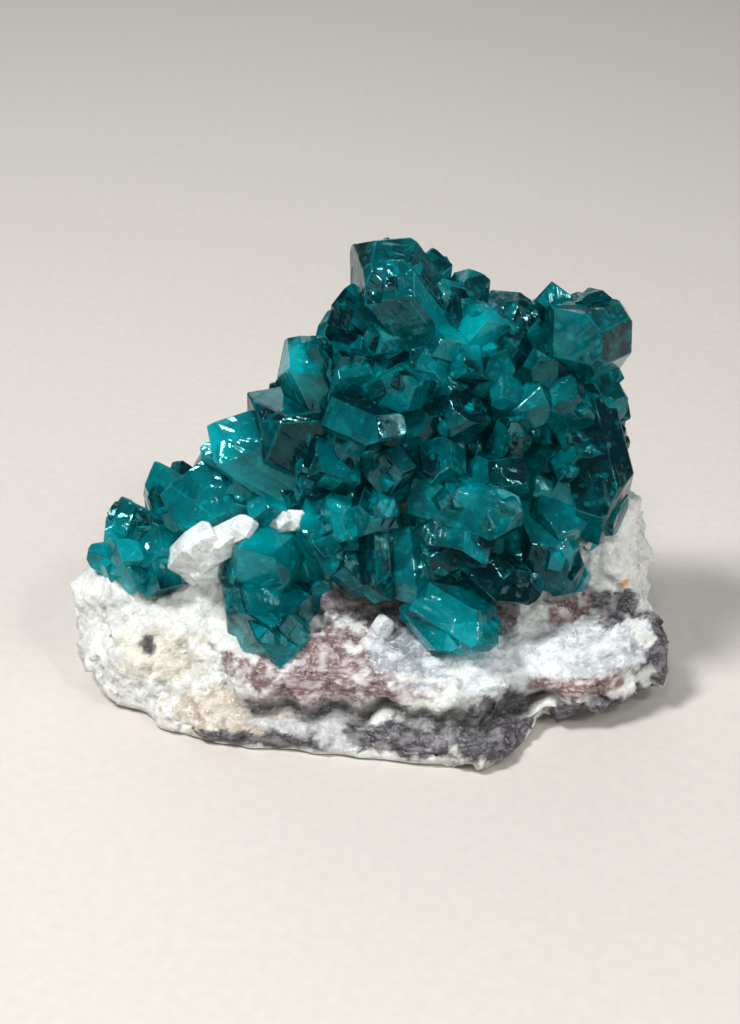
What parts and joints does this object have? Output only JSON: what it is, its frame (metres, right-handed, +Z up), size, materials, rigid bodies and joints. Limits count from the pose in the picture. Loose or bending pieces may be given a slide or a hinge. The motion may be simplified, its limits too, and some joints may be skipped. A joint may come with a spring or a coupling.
{
  "type": "dioptase specimen on matrix",
  "caption": "Deep blue-green dioptase crystals grown over a loose block of white and brown calcite rock that rests on its flat base.",
  "frame": {"origin": "middle of the flat face that the rock rests on", "axes": "+X to the right along the rock's long side, +Y away from the crystal-covered front, +Z up from the resting face"},
  "size_m": [0.0637, 0.0357, 0.0493],
  "materials": {
    "calcite_rock": "rough broken calcite, white to pinkish brown, dark grey at the lower rim",
    "dioptase": "clear blue-green crystal with a bright glassy surface"
  },
  "bodies": {
    "root": {"matrix": "calcite_rock", "dioptase_druse": "dioptase", "dioptase_left_crust": "dioptase", "dioptase_lower_left": "dioptase", "dioptase_front_crystal": "dioptase", "dioptase_back_upper": "dioptase", "dioptase_back_lower": "dioptase"}
  },
  "joints": []
}
